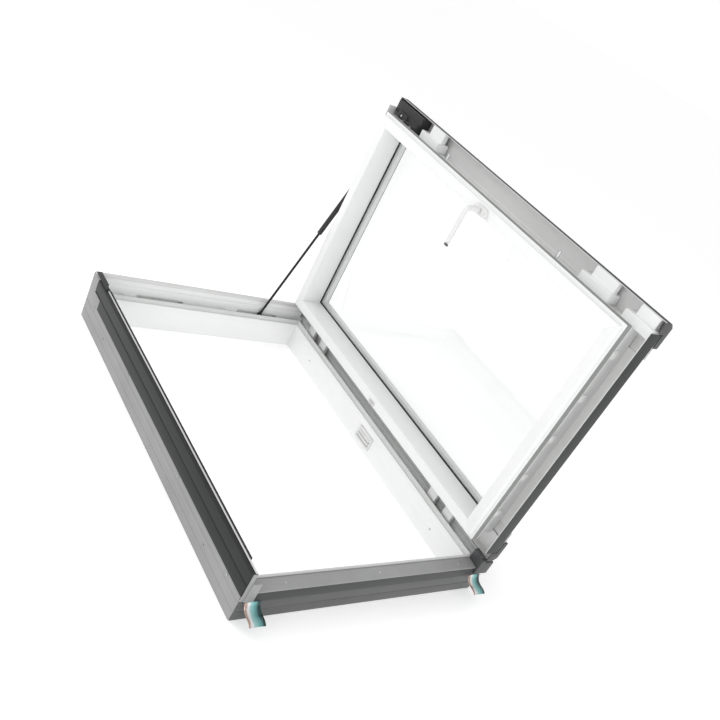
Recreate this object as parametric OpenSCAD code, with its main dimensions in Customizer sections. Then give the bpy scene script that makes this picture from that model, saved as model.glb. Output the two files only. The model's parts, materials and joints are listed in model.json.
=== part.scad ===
// Side-hung roof window: fixed frame, glazed sash standing open at a right angle, lever handle,
// locking bar and gas strut. The frame lies in the XY plane: +X is the hinge side, +Y points up
// the roof, +Z points outdoors. The origin is the middle of the frame's underside.

/* [Overall] */
// Width of the frame, across the roof
frame_w = 780; // [650:5:960]
// Length of the frame, up the roof
frame_l = 1180; // [980:5:1450]

/* [Frame] */
// Height of the tall wall along the lock side and the top end
wall_h = 150; // [145:1:175]
// Height of the low wall along the hinge side
low_h = 115; // [108:1:118]
// Height of the lip that the inner seal clips to
lip_h = 91; // [80:1:92]
// Depth of the side jambs, from the outer face to the lining
jamb_t = 50; // [46:1:60]
// Depth of the end rails, from the outer face to the lining
rail_t = 44; // [42:1:60]
// Thickness of the aluminium covers
sheet_t = 2; // [1.5:0.5:2.5]
// Height of the pale outer skirt on the lock side
skirt_h = 82; // [60:1:90]

/* [Sash] */
// Overlap of the sash face over the edge of the opening
face_lap = 3; // [2:0.5:6]
// Width of the flat inner face of the sash
face_w = 31; // [24:1:40]
// Depth of the reveal, from the inner face to the glazing rebate
reveal_d = 67; // [50:1:80]
// How far the reveal leans in towards the glass
reveal_lean = 8; // [0:1:14]
// Thickness of each pane
pane_t = 4; // [3:0.5:6]
// Width of the gas gap between the panes
pane_gap = 16; // [12:1:20]
// How far the covers overhang the frame
cover_lap = 6; // [4:1:10]

/* [Hinge] */
// Diameter of the hinge pins
pin_d = 8; // [6:0.5:10]
// Play between a pin and its bore, on the radius
fit = 0.05; // [0.03:0.01:0.08]
// Length of one hinge leaf
leaf_l = 164; // [120:2:180]
// Middle of the upper hinge, in from the frame's top end
hinge_top_in = 158; // [150:1:240]
// Middle of the lower hinge, in from the frame's bottom end
hinge_low_in = 218; // [170:1:290]

/* [Strut] */
// Diameter of the strut's barrel
barrel_d = 16; // [12:1:17]
// Diameter of the strut's rod
rod_d = 8; // [6:1:10]
// Length of the barrel
barrel_l = 280; // [262:1:300]
// Distance of the strut's foot from the hinge side's outer face
foot_in = 200; // [180:1:215]
// Distance of the strut's head from the hinge pin, along the sash
head_out = 556; // [520:1:580]

/* [Handle] */
// Length of the lever, from the spindle to the tip
lever_l = 122; // [100:1:140]
// Stand-off of the lever from the sash face
lever_off = 54; // [45:1:54]
// Travel of the locking bar for a quarter turn of the lever
bar_travel = 18; // [12:1:24]

/* [Hidden] */
$fn = 48;

gap = 0.3;
hw = frame_w/2;
hl = frame_l/2;
open_x = hw - jamb_t;
open_y = hl - rail_t;
shelf_h = lip_h - 4;
lip_t = 4;
wall_t = 8;
ledge_n = sheet_t + wall_t + 5;
ledge_h = 128;

// The sash is drawn shut, in the frame's own axes, and swung open about the hinge pin.
face_z = lip_h + 2;
rim_x = open_x + face_lap - 1;
rim_y = open_y + face_lap - 2;
step_d = 12;
flange_out = 9;
flange_d = 36;
glass_d = reveal_d + 3;
glass_t = 2*pane_t + pane_gap;
wall_d = glass_d + glass_t - 2;
cover_d = glass_d + glass_t + 2;
cover_out_x = hw + cover_lap - rim_x;
cover_out_y = hl + cover_lap + 4 - rim_y;
raised_d = cover_d + 12;
hinge_x = hw - 32;
hinge_z = face_z + 68;
glass_in = 18;

strut_y = rim_y + flange_out + 1.5 + barrel_d/2;
foot_x = hw - foot_in;
foot_z = lip_h + 8;
head_x = hinge_x - head_out;
head_z = hinge_z - 15;
eye_r = 8;
eye_t = 8;

white = "white";
pale = [0.68, 0.69, 0.68];
dark = [0.28, 0.28, 0.29];
black = [0.07, 0.07, 0.07];
steel = [0.75, 0.76, 0.77];

// Swings what is drawn shut to the open position, a quarter turn about the hinge pin.
module swung_open() {
    translate([hinge_x, 0, hinge_z]) rotate([0, 90, 0]) translate([-hinge_x, 0, -hinge_z]) children();
}

// A bar along X whose section is drawn as [out, up] from the line y = off.
module bar(length, off, section) {
    translate([0, off, 0]) rotate([90, 0, 90]) linear_extrude(length, center = true) polygon(section);
}

// A bar with mitred ends. Its outer edge is 2*half long at y = off, and each end
// runs in by slope for each millimetre inward.
module mitred_bar(half, off, section, slope = 1) {
    reach = 120;
    intersection() {
        bar(2*half + 2*reach, off, section);
        translate([0, 0, -reach]) linear_extrude(5*reach) polygon([
            [-(half - reach*slope), off - reach], [half - reach*slope, off - reach],
            [half + reach*slope, off + reach], [-(half + reach*slope), off + reach]]);
    }
}

// The four sides of a rectangle, turned from the side at +Y.
module to_top() { children(); }
module to_bottom() { rotate(180) children(); }
module to_lock() { rotate(90) children(); }
module to_hinge() { rotate(-90) children(); }

// A closed ring of one section, with mitred corners.
module ring(half_x, half_y, section) {
    to_top() mitred_bar(half_x, half_y, section);
    to_bottom() mitred_bar(half_x, half_y, section);
    to_lock() mitred_bar(half_y, half_x, section);
    to_hinge() mitred_bar(half_y, half_x, section);
}

module plate(x0, x1, y0, y1, z0, z1) {
    translate([x0, y0, z0]) cube([x1 - x0, y1 - y0, z1 - z0]);
}

// ---- Frame ----

// Plastic profile of a tall side, as [out, up]: outer wall, ledge, channel, lip and lining.
function tall_section(t) = [
    [-sheet_t, 0], [-sheet_t, wall_h], [-sheet_t - wall_t, wall_h], [-sheet_t - wall_t, ledge_h],
    [-ledge_n, ledge_h - 3], [-ledge_n, shelf_h], [-t + lip_t, shelf_h], [-t + lip_t, lip_h],
    [-t + 1, lip_h], [-t, lip_h - 1], [-t, lip_h - 22], [-t + 2, lip_h - 24], [-t + 2, 3], [-t + 5, 0]];

// Plastic profile of a low side: the same lining and channel, with a wall of height h.
function low_section(t, h) = [
    [-sheet_t, 0], [-sheet_t, h], [-sheet_t - wall_t, h], [-sheet_t - wall_t, shelf_h],
    [-t + lip_t, shelf_h], [-t + lip_t, lip_h],
    [-t + 1, lip_h], [-t, lip_h - 1], [-t, lip_h - 22], [-t + 2, lip_h - 24], [-t + 2, 3], [-t + 5, 0]];

// Fixing holes through the jambs, level with the flat lower part of the skirts.
fix_d = 6.5;
fix_z = 44;
fix_y = frame_l*0.34;
module fixing_holes(side) {
    for (y = [-fix_y, fix_y])
        translate([side*(hw + 20), y, fix_z]) rotate([0, -side*90, 0]) cylinder(d = fix_d, h = 100);
}

// Cut in the top end's wall that the raised hinge-side cover swings through.
module corner_notch(floor_z) { plate(hw - 28, hw + 20, hl - 60, hl + 20, floor_z, wall_h + 20); }

module frame_top_rail() {
    color(white) difference() {
        to_top() mitred_bar(hw, hl, tall_section(rail_t), jamb_t/rail_t);
        corner_notch(low_h - 9);
    }
}
bottom_wall = shelf_h - 5;
module frame_bottom_rail() {
    color(white) to_bottom() mitred_bar(hw, hl, low_section(rail_t, bottom_wall), jamb_t/rail_t);
}
module frame_lock_jamb() {
    color(white) difference() {
        to_lock() mitred_bar(hl, hw, tall_section(jamb_t), rail_t/jamb_t);
        fixing_holes(-1);
    }
}
module frame_hinge_jamb() {
    color(white) difference() {
        to_hinge() mitred_bar(hl, hw, low_section(jamb_t, low_h), rail_t/jamb_t);
        fixing_holes(1);
    }
}

// A skirt sheet with two shallow grooves along it, from the floor up to height h.
groove_h = [29, 60];
function skirt_section(h) = concat(
    [[0, 0]],
    [for (g = groove_h) each [[0, g - 1.5], [-1, g - 0.5], [-1, g + 0.5], [0, g + 1.5]]],
    [[0, h], [-sheet_t, h], [-sheet_t, 0]]);

// Cover of the top end: the outer sheet, over the top and down inside.
lap_in = 12;
end_gap = 2.5;
module frame_top_cover() {
    top_z = wall_h + sheet_t;
    color(pale) difference() {
        union() {
            plate(-hw + end_gap, hw - end_gap, hl - sheet_t, hl, 0, top_z);
            plate(-hw + lap_in - 1.5, hw, hl - lap_in, hl - 1, wall_h, top_z);
            plate(-hw + lap_in - 1.5, hw, hl - lap_in, hl - sheet_t - wall_t, wall_h - 8, top_z);
        }
        corner_notch(low_h + sheet_t);
    }
}

// The lock side's pale skirt, with its full-height plate at the top end.
skirt_end_y = hl - 50;
skirt_step_y = hl - 98;
skirt_step_h = 112;
module lock_side_skirt() {
    color(pale) difference() {
        union() {
            to_lock() bar(frame_l - 2*sheet_t, hw, skirt_section(skirt_h));
            plate(-hw, -hw + sheet_t, skirt_step_y, hl - sheet_t, skirt_h - 1, skirt_step_h);
            plate(-hw, -hw + sheet_t, skirt_end_y, hl - sheet_t, skirt_step_h - 1, wall_h);
        }
        fixing_holes(-1);
    }
}

// The lock side's dark cover: stands proud, with one bead along it, cut back at the top end.
cover_proud = 3;
bead_h = 117;
module lock_side_cover() {
    section = [
        [-sheet_t, skirt_h], [cover_proud, skirt_h], [cover_proud, bead_h - 2], [1, bead_h - 1],
        [1, bead_h + 1], [cover_proud, bead_h + 2], [cover_proud, wall_h], [0, wall_h + 4],
        [-4, wall_h + 4], [-4, wall_h + 2.5], [-6, wall_h + 2.5], [-6, wall_h + 4],
        [-lap_in, wall_h + 4], [-lap_in, wall_h - 8], [-sheet_t - wall_t, wall_h - 8],
        [-sheet_t - wall_t, wall_h], [-sheet_t, wall_h]];
    color(dark) difference() {
        to_lock() bar(frame_l, hw, section);
        plate(-hw - 10, -hw + 30, skirt_end_y, hl + 10, skirt_h - 5, wall_h + 20);
        plate(-hw - 10, -hw + 30, skirt_step_y, hl + 10, skirt_h - 5, skirt_step_h);
    }
}

module bottom_skirt() {
    color(dark) to_bottom() bar(frame_w - 2*end_gap, hl, skirt_section(64));
}

// Sloped sill over the bottom rail, with a drip nose in front.
nose_n = 4;
nose_z = 62;
nose_top = shelf_h + 4;
nose_edge = 2;
sill_in = 30;
sill_rise = 4;
sill_x = [-hw + 17, open_x + 7];
module bottom_drip_cover() {
    top = nose_top + nose_edge + sill_rise;
    color(pale) translate([(sill_x[0] + sill_x[1])/2, 0, 0]) to_bottom() bar(sill_x[1] - sill_x[0], hl, [
        [-sheet_t, 64], [0, 64], [1, nose_z], [nose_n, nose_z], [nose_n, nose_top],
        [nose_n - nose_edge, nose_top + nose_edge], [-sill_in, top], [-sill_in - sheet_t, top],
        [-sill_in - sheet_t, shelf_h], [-sheet_t - wall_t, shelf_h], [-sheet_t - wall_t, bottom_wall],
        [-sheet_t, bottom_wall]]);
}

hinge_proud = 8;
module hinge_side_cover() {
    color(dark) difference() {
        to_hinge() bar(frame_l - 2*end_gap, hw, [
            [-sheet_t, 0], [0, 0], [0, 72], [hinge_proud, 76], [hinge_proud, low_h - 1],
            [hinge_proud - 3, low_h + sheet_t], [-lap_in, low_h + sheet_t], [-lap_in, low_h - 8],
            [-sheet_t - wall_t, low_h - 8], [-sheet_t - wall_t, low_h], [-sheet_t, low_h]]);
        fixing_holes(1);
    }
}

// Black bulb seals on the inner edge of the side walls, with two lips above the cover.
module wall_seal(length, top) {
    bar(length, hw, [
        [-lap_in, top - 12], [-lap_in, top + 1.5], [-lap_in - 1, top + 2.2], [-lap_in - 2.5, top + 0.5],
        [-lap_in - 4, top + 1.8], [-lap_in - 5.5, top], [-lap_in - 5.5, top - 5], [-lap_in - 3, top - 12]]);
}
lock_seal_l = frame_l - 2*rail_t - 64;
module lock_side_seal() {
    color(black) translate([0, -32, 0]) to_lock() wall_seal(lock_seal_l, wall_h + 4);
}
module hinge_side_seal() { color(black) to_hinge() wall_seal(frame_l - 2*rail_t, low_h + 1); }

// Grey seal clipped behind the lip, all the way round.
module inner_seal() {
    foot = lip_t + 6 + 2*gap;
    tip = face_z + step_d - gap;
    color([0.45, 0.46, 0.46]) ring(open_x + foot, open_y + foot, [
        [-6, shelf_h], [0, shelf_h], [-0.5, shelf_h + 3], [-2, tip - 4], [-3, tip], [-4.5, tip - 4],
        [-6, shelf_h + 3]]);
}

// ---- Fittings on the frame ----

ledge_y = hl - ledge_n;
rail_x = [-frame_w*0.5 + 144, frame_w*0.5 - 280];
rail_l = 135;
rail_z = [shelf_h + 1, shelf_h + 17];
rail_depth = 3.5;

// Two slotted steel rails on the ledge of the top rail.
module stay_rails() {
    slot_r = 2.5;
    color(steel) for (x = rail_x) difference() {
        plate(x, x + rail_l, ledge_y - rail_depth, ledge_y, rail_z[0], rail_z[1]);
        for (a = [14, 78]) {
            plate(x + a, x + a + 42, ledge_y - 10, ledge_y + 1, rail_z[0] + 7 - slot_r, rail_z[0] + 7 + slot_r);
            for (e = [0, 42]) translate([x + a + e, ledge_y + 1, rail_z[0] + 7]) rotate([90, 0, 0])
                cylinder(r = slot_r, h = 11);
        }
    }
}

// White moulded bosses at the lower ends of the rails, oval with a raised button.
module rail_end_bosses() {
    boss_l = 46;
    boss_h = 12;
    color(white) for (x = rail_x) translate([x - boss_l/2 - 2, ledge_y, shelf_h + 7]) rotate([90, 0, 0]) {
        for (s = [-1, 1]) translate([s*(boss_l - boss_h)/2, 0, 0]) cylinder(d = boss_h, h = 7);
        translate([-(boss_l - boss_h)/2, -boss_h/2, 0]) cube([boss_l - boss_h, boss_h, 7]);
        translate([10, 0, 0]) cylinder(d = 8, h = 10);
    }
}

// Small angle brackets at the upper ends of the rails.
module rail_brackets() {
    color(steel) for (x = rail_x) {
        plate(x + rail_l + 1, x + rail_l + 19, ledge_y - 2, ledge_y, shelf_h, shelf_h + 13);
        plate(x + rail_l + 1, x + rail_l + 19, ledge_y - 12, ledge_y - 2, shelf_h, shelf_h + 2);
    }
}

// Keepers on the lock side: a post on the wall with a tongue over the locking pin.
lock_pin_y = frame_l*0.22;
lock_pin_d = 8;
lock_pin_out = 26.7;
lock_h = flange_d + 6.5;
bar_w = 12;
tongue_t = 2;
tongue_z = face_z + lock_h + lock_pin_d/2 + 0.5;
module strike_plates() {
    post_x = -hw + ledge_n;
    post_t = 3.5;
    reach = 11;
    color(steel) for (s = [-1, 1]) {
        y = s*lock_pin_y - bar_travel;
        plate(post_x, post_x + post_t, y - 20, y + 8, shelf_h, tongue_z + tongue_t);
        plate(post_x, post_x + reach, y - 6, y + 6, tongue_z, tongue_z + tongue_t);
    }
}

// Ribbed plastic catch on the lining at mid length of the hinge side.
module centre_catch_frame() {
    lining_x = open_x + 2;
    color(white) {
        plate(lining_x - 4, lining_x, -40, 40, 22, lip_h - 25);
        for (z = [26, 38, 50]) plate(lining_x - 10, lining_x - 4, -34, 34, z, z + 6);
    }
}

// Stepped black cap on the wall at the top end of the dark cover.
module cover_end_cap_top() {
    x0 = -hw + 2;
    x1 = -hw + lap_in + 5;
    color(black) difference() {
        plate(x0, x1, skirt_end_y - 56, skirt_end_y + 38, wall_h - 8, wall_h + 9);
        plate(x0 - 1, -hw + lap_in, skirt_end_y - 57, skirt_end_y + 39, wall_h - 9, wall_h + 4);
        plate(x1 - 5, x1 + 1, skirt_end_y - 57, skirt_end_y - 30, wall_h + 3, wall_h + 10);
        plate(x1 - 5, x1 + 1, skirt_end_y + 16, skirt_end_y + 39, wall_h - 9, wall_h + 1);
    }
}

// Folded grey tab that closes the lock side's corner over the sill.
module cover_end_cap_bottom() {
    x0 = -hw + 10;
    x1 = -hw + 34;
    y1 = -hl - nose_n;
    z1 = wall_h - 26;
    color(pale) {
        plate(x0, x1, y1 - sheet_t, y1, 66, z1);
        plate(x0, x1, y1 - sheet_t, -hl + 8, z1 - sheet_t, z1);
        plate(x0, x0 + sheet_t, y1 - sheet_t, -hl, 66, z1);
        plate(-hw + 0.5, x0 + sheet_t, -hl - sheet_t, -hl, 66, wall_h + 3);
    }
}

// Dark moulded block on the hinge side's bottom corner, with a cap over the cover's end.
module hinge_corner_block() {
    x0 = open_x + 7.5;
    top_z = low_h + 1;
    color(dark) {
        plate(x0, hw - lap_in - 0.5, -hl, -hl + 33, shelf_h, top_z);
        plate(x0, hw - 28, -hl, -hl + 33, top_z - 1, top_z + 15);
        plate(x0, hw + hinge_proud, -hl - 10, -hl, 72, top_z);
        plate(x0, hw - 28, -hl - 10, -hl, top_z - 1, top_z + 8);
    }
}

// Two bent straps that stand out below the sill at the bottom corners.
strap_w = 44;
strap_x = [-hw + 14, hw - 50];
strap_t = 1.6;
function strap_line(k) = [-52*k + 5*sin(360*k), 66 - 30*k - 9*sin(180*k) - 3*sin(360*k)];
module hanging_straps() {
    steps = 18;
    upper = [for (i = [0 : steps]) strap_line(i/steps)];
    lower = [for (i = [steps : -1 : 0]) strap_line(i/steps) - [0, strap_t]];
    color([0.55, 0.72, 0.70]) for (x = strap_x) translate([x, -hl - nose_n, 0]) {
        rotate([90, 0, 90]) linear_extrude(strap_w) polygon(concat(upper, lower));
        translate([0, 0, 40]) cube([strap_w, nose_n, nose_z - 40]);
    }
}

// Countersunk screws that hold the skirt and the sill.
module screw_head() { cylinder(d1 = 7, d2 = 5.5, h = 1.2); }
skirt_screw_z = 72;
sill_run = sill_in + nose_n - nose_edge;
module frame_screws() {
    color(steel) {
        for (y = [0.44, 0.17, -0.17, -0.44]) translate([-hw, y*frame_l, skirt_screw_z])
            rotate([0, -90, 0]) screw_head();
        for (x = [-0.36, 0, 0.36])
            translate([x*frame_w, -hl - nose_n + nose_edge + sill_run/2, nose_top + nose_edge + sill_rise/2])
                rotate([atan(sill_rise/sill_run), 0, 0]) screw_head();
    }
}

// ---- Hinges ----

knuckle_r = 8;
knuckle_l = leaf_l*0.23;
mid_l = knuckle_l + 5;
hinge_y = [hl - hinge_top_in, -hl + hinge_low_in];

// Lower half of a hinge: plate in the channel and two posts up to the pin.
module hinge_frame_leaf(y) {
    post_t = 12;
    color(steel) translate([0, y, 0]) difference() {
        union() {
            plate(open_x + lip_t + 8, hw - lap_in, -leaf_l/2, leaf_l/2, shelf_h, shelf_h + 3);
            for (s = [-1, 1]) {
                a = s > 0 ? mid_l/2 + gap : -mid_l/2 - gap - knuckle_l;
                plate(hinge_x - 4, hinge_x - 4 + post_t, a, a + knuckle_l, shelf_h, hinge_z);
                translate([hinge_x, a, hinge_z]) rotate([-90, 0, 0]) cylinder(r = knuckle_r, h = knuckle_l);
            }
        }
        translate([hinge_x, -leaf_l, hinge_z]) rotate([-90, 0, 0]) cylinder(d = pin_d + 2*fit, h = 2*leaf_l);
        for (s = [-1, 1]) translate([hinge_x, s*(leaf_l/2 - 10), shelf_h - 1]) cylinder(d = 5, h = 6);
        for (k = [-1, 0, 1]) translate([hinge_x + 12, k*leaf_l*0.22, shelf_h - 1]) cylinder(d = 7, h = 6);
    }
}
module hinge_frame_leaf_upper() { hinge_frame_leaf(hinge_y[0]); }
module hinge_frame_leaf_lower() { hinge_frame_leaf(hinge_y[1]); }

module hinge_pins() {
    pin_l = mid_l + 2*knuckle_l + 4;
    color(steel) for (y = hinge_y) translate([hinge_x, y - pin_l/2, hinge_z]) rotate([-90, 0, 0]) {
        cylinder(d = pin_d, h = pin_l);
        translate([0, 0, -3]) cylinder(d = pin_d + 5, h = 3);
    }
}

// Upper half of a hinge: plate on the edge of the sash and one knuckle between the posts.
module hinge_sash_leaf(y) {
    edge_x = rim_x - 2;
    color(white) swung_open() translate([0, y, 0]) difference() {
        union() {
            plate(edge_x, edge_x + 3, -leaf_l/2, leaf_l/2, face_z + flange_d + 3, face_z + wall_d - 4);
            plate(edge_x, hinge_x, -mid_l/2, mid_l/2, hinge_z - knuckle_r, hinge_z + knuckle_r);
            translate([hinge_x, -mid_l/2, hinge_z]) rotate([-90, 0, 0]) cylinder(r = knuckle_r, h = mid_l);
        }
        translate([hinge_x, -leaf_l, hinge_z]) rotate([-90, 0, 0]) cylinder(d = pin_d + 2*fit, h = 2*leaf_l);
    }
}
module hinge_sash_leaf_upper() { hinge_sash_leaf(hinge_y[0]); }
module hinge_sash_leaf_lower() { hinge_sash_leaf(hinge_y[1]); }

// ---- Sash ----

// Plastic profile of the sash as [out, up from the inner face].
sash_section = [
    [-1, 0], [0, 1], [0, step_d], [flange_out, step_d], [flange_out, 14], [flange_out - 2, 14],
    [flange_out - 2, 34], [flange_out, 34], [flange_out, flange_d], [-2, flange_d], [-2, wall_d],
    [-14, wall_d], [-14, reveal_d], [-face_w - reveal_lean, reveal_d], [-face_w, 1], [-face_w + 1, 0]];

module on_sash() { swung_open() translate([0, 0, face_z]) children(); }

module sash_top_rail() { color(white) on_sash() to_top() mitred_bar(rim_x, rim_y, sash_section); }
module sash_bottom_rail() { color(white) on_sash() to_bottom() mitred_bar(rim_x, rim_y, sash_section); }
module sash_hinge_stile() { color(white) on_sash() to_hinge() mitred_bar(rim_y, rim_x, sash_section); }

// The free stile holds the lock case in a pocket, with a hole for the spindle.
spindle_x = -(rim_x - face_w/2 - 2.5);
spindle_r = 4.5;
case_box = [20, 84, 26];
module sash_free_stile() {
    color(white) on_sash() difference() {
        to_lock() mitred_bar(rim_y, rim_x, sash_section);
        translate([spindle_x, 0, 26]) cube(case_box, center = true);
        translate([spindle_x, 0, -1]) cylinder(r = spindle_r + 1, h = 20);
    }
}

module lock_case() {
    color(steel) on_sash() translate([spindle_x, 0, 26]) difference() {
        cube(case_box - [gap, gap, gap]*2, center = true);
        translate([0, 0, -20]) cylinder(r = spindle_r + fit, h = 40);
    }
}

// Seal in the flange's groove, with two ribs.
module sash_edge_seal() {
    rib = flange_out + 0.6;
    low = flange_out - 0.6;
    color([0.5, 0.5, 0.5]) on_sash() ring(rim_x, rim_y, [
        [flange_out - 2, 14.2], [low, 14.2], [rib, 16], [rib, 19], [low, 21], [low, 27],
        [rib, 29], [rib, 32], [low, 33.8], [flange_out - 2, 33.8]]);
}

reveal_end = face_w + reveal_lean;
module glazing_seal_inner() {
    color(black) on_sash() ring(rim_x, rim_y, [
        [-reveal_end - 1.6, reveal_d + 1.2], [-reveal_end - 0.3, reveal_d], [-glass_in - 8, reveal_d],
        [-glass_in - 8, glass_d], [-reveal_end - 1.6, glass_d]]);
}

module pane(d0, t) {
    plate(-rim_x + glass_in, rim_x - glass_in, -rim_y + glass_in, rim_y - glass_in, d0, d0 + t);
}
outer_pane_d = glass_d + pane_t + pane_gap;
module pane_inner() { color([0.85, 0.95, 0.93, 0.35]) on_sash() pane(glass_d, pane_t); }
module pane_outer() { color([0.85, 0.95, 0.93, 0.35]) on_sash() pane(outer_pane_d, pane_t); }
module spacer_bar() {
    d0 = glass_d + pane_t;
    color([0.78, 0.78, 0.78]) on_sash() ring(rim_x, rim_y, [
        [-reveal_end - 14, d0], [-reveal_end - 3, d0], [-reveal_end - 3, d0 + pane_gap],
        [-reveal_end - 14, d0 + pane_gap]]);
}
module glazing_seal_outer() {
    d0 = outer_pane_d + pane_t;
    color(black) on_sash() ring(rim_x, rim_y, [
        [-reveal_end - 8, d0], [-glass_in - 4, d0], [-glass_in - 4, d0 + 2], [-reveal_end - 8, d0 + 2]]);
}

// ---- Covers of the sash ----

lip_n = reveal_end + 10;
lip_d = glass_d + glass_t + 2;
flange_low = 80;
arc_steps = 8;
function arc_pts(cx, cy, r, a0, a1) = [for (i = [0 : arc_steps])
    let (a = a0 + (a1 - a0)*i/arc_steps) [cx + r*cos(a), cy + r*sin(a)]];

// Low cover, flush over the glass edge, then round and down as a skirt.
skirt_d = 43;
function low_cover_section(out) = concat(
    [[-lip_n, lip_d], [-lip_n, lip_d + sheet_t]],
    arc_pts(out - 16, lip_d + sheet_t - 16, 16, 90, 0),
    [[out, skirt_d], [out - sheet_t, skirt_d]],
    arc_pts(out - 16, lip_d + sheet_t - 16, 16 - sheet_t, 0, 90),
    [[-2, lip_d], [-2, wall_d], [-14, wall_d], [-14, lip_d]]);

// Raised cover of the long sides, with a short flange down its outer edge.
function raised_cover_section(out) = concat(
    [[-lip_n, lip_d], [-lip_n, lip_d + sheet_t], [-16, lip_d + sheet_t], [-14, raised_d - 1],
     [-13, raised_d]],
    arc_pts(out - 10, raised_d - 10, 10, 90, 0),
    [[out, flange_low], [out - sheet_t, flange_low]],
    arc_pts(out - 10, raised_d - 10, 10 - sheet_t, 0, 90),
    [[0, raised_d - sheet_t], [-2, raised_d - 2*sheet_t], [-2, wall_d], [-14, wall_d], [-14, lip_d]]);

side_run = 2*(rim_y + cover_out_y) - 6;
low_run = 2*(rim_x + 21);
lip_run = 2*(rim_x - lip_n - gap);

module low_cover() {
    difference() {
        bar(low_run, rim_y, low_cover_section(cover_out_y));
        for (a = [-low_run - lip_run/2, lip_run/2])
            translate([a, rim_y - low_run/2, lip_d - 8]) cube([low_run, low_run, 100]);
    }
}
module sash_bottom_cover() { color(dark) on_sash() to_bottom() low_cover(); }
module sash_top_cover() { color(dark) on_sash() to_top() low_cover(); }
module raised_cover() { bar(side_run, rim_x, raised_cover_section(cover_out_x)); }
module sash_free_cover() { color(pale) on_sash() to_lock() raised_cover(); }
module sash_hinge_cover() { color(dark) on_sash() to_hinge() raised_cover(); }

// Moulded caps that close the ends of the raised covers.
module end_caps() {
    out = cover_out_x;
    for (s = [-1, 1]) multmatrix([[s, 0, 0, 0], [0, 1, 0, 0], [0, 0, 1, 0], [0, 0, 0, 1]])
        translate([side_run/2, rim_x, 0]) rotate([90, 0, 90]) linear_extrude(3) polygon([
            [-15, wall_d], [-15, raised_d - 1], [-13, raised_d + 1], [out - 10, raised_d + 1],
            [out, raised_d - 10], [out, flange_low - 8], [24, flange_low - 8], [24, wall_d]]);
}
module free_cover_end_cap() { color(black) on_sash() to_lock() end_caps(); }
module hinge_cover_end_cap() { color(black) on_sash() to_hinge() end_caps(); }

// White clips that carry the free side's cover.
clip_d0 = 62;
clip_y = [[-hl, -hl + 94.4], [-hl + 147.5, -hl + 259.6], [hl - 250.2, hl - 155.8]];
module cover_clips() {
    clip_top = raised_d - 2*sheet_t;
    color(white) on_sash() to_lock() for (y = clip_y) {
        a = y[0];
        b = y[1];
        translate([a, rim_x - 2, clip_d0]) cube([b - a, 26, clip_top - clip_d0]);
        translate([a + 8, rim_x + 24, clip_d0 + 14])
            cube([b - a - 30, cover_out_x - sheet_t - 24, clip_top - clip_d0 - 24]);
    }
}

// Round plugs in the lower edge of the sash.
plug_d = 26;
plug_depth = 60;
module bottom_plugs() {
    color(white) on_sash() for (i = [-2 : 2])
        translate([i*(rim_x*0.386), -rim_y + 2, plug_depth]) rotate([90, 0, 0]) cylinder(d = plug_d, h = 5);
}

// Dark block at the top end of the free side: deep inside the wall's line, shallow above the wall.
block_y = hl - 135;
block_l = 139;
module lock_end_block() {
    low_d = clip_d0 - 14;
    high_d = clip_d0 + 4;
    block_top = raised_d - 2*sheet_t;
    color(black) on_sash() to_lock() difference() {
        union() {
            translate([block_y, rim_x - 2, low_d]) cube([block_l - 24, 28, block_top - low_d]);
            translate([block_y, rim_x - 2, high_d]) cube([block_l, cover_out_x - 4, block_top - high_d]);
        }
        translate([block_y - 1, rim_x + 14, low_d - 1]) cube([52, 20, 10]);
        translate([block_y + 96, rim_x + 16, low_d - 1]) cube([30, 20, 14]);
        translate([block_y + 70, rim_x + 10, low_d - 1]) cube([16, 12, 10]);
    }
}

// Bright screws and a stop pin on the end block.
module end_block_screws() {
    low_d = clip_d0 - 14;
    color(steel) on_sash() to_lock() {
        for (k = [18, 60]) translate([block_y + k, rim_x + 6, low_d - 2.5]) cylinder(d = 9, h = 2.5);
        translate([block_y + 78, rim_x + 16, low_d]) cylinder(d = 9, h = 9);
    }
}

module centre_catch_sash() {
    color([0.8, 0.8, 0.8]) on_sash() difference() {
        plate(rim_x - 14, rim_x - 4, -14, 14, -3, 0);
        plate(rim_x - 11, rim_x - 7, -8, 8, -4, -1);
    }
}

// ---- Handle and lock ----

base_t = 9;
module handle_base() {
    color(white) on_sash() translate([spindle_x, 0, -base_t]) difference() {
        union() {
            for (s = [-1, 1]) translate([0, s*17, 0]) cylinder(d = 24, h = base_t);
            translate([-12, -17, 0]) cube([24, 34, base_t]);
        }
        translate([0, 0, -1]) cylinder(r = spindle_r + fit, h = base_t + 2);
        for (s = [-1, 1]) translate([0, s*21, -1]) cylinder(d = 6, h = 3);
    }
}

// Lever: spindle, round neck, and an arm that swells a little towards the tip.
neck_r = 7;
module handle_lever() {
    arm_z = -lever_off;
    arm_t = 13;
    color(white) on_sash() translate([spindle_x, 0, 0]) {
        translate([0, 0, -base_t - 1]) cylinder(r = spindle_r, h = base_t + 38);
        translate([0, 0, arm_z + arm_t/2]) cylinder(r = neck_r, h = lever_off - arm_t/2 - base_t - gap);
        translate([0, 0, arm_z]) sphere(r = neck_r);
        hull() {
            translate([0, 0, arm_z]) rotate([0, 90, 0]) scale([0.75, 1, 1]) cylinder(r = neck_r, h = 1, $fn = 32);
            translate([lever_l - 12, 0, arm_z - 2]) rotate([0, 90, 0]) scale([0.66, 1.1, 1])
                cylinder(r = neck_r, h = 1, $fn = 32);
        }
    }
}
module lever_tip() {
    color(dark) on_sash() translate([spindle_x + lever_l - 11, 0, -lever_off - 2]) rotate([0, 90, 0])
        scale([0.66, 1.1, 1]) cylinder(r = neck_r, h = 6);
}

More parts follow.
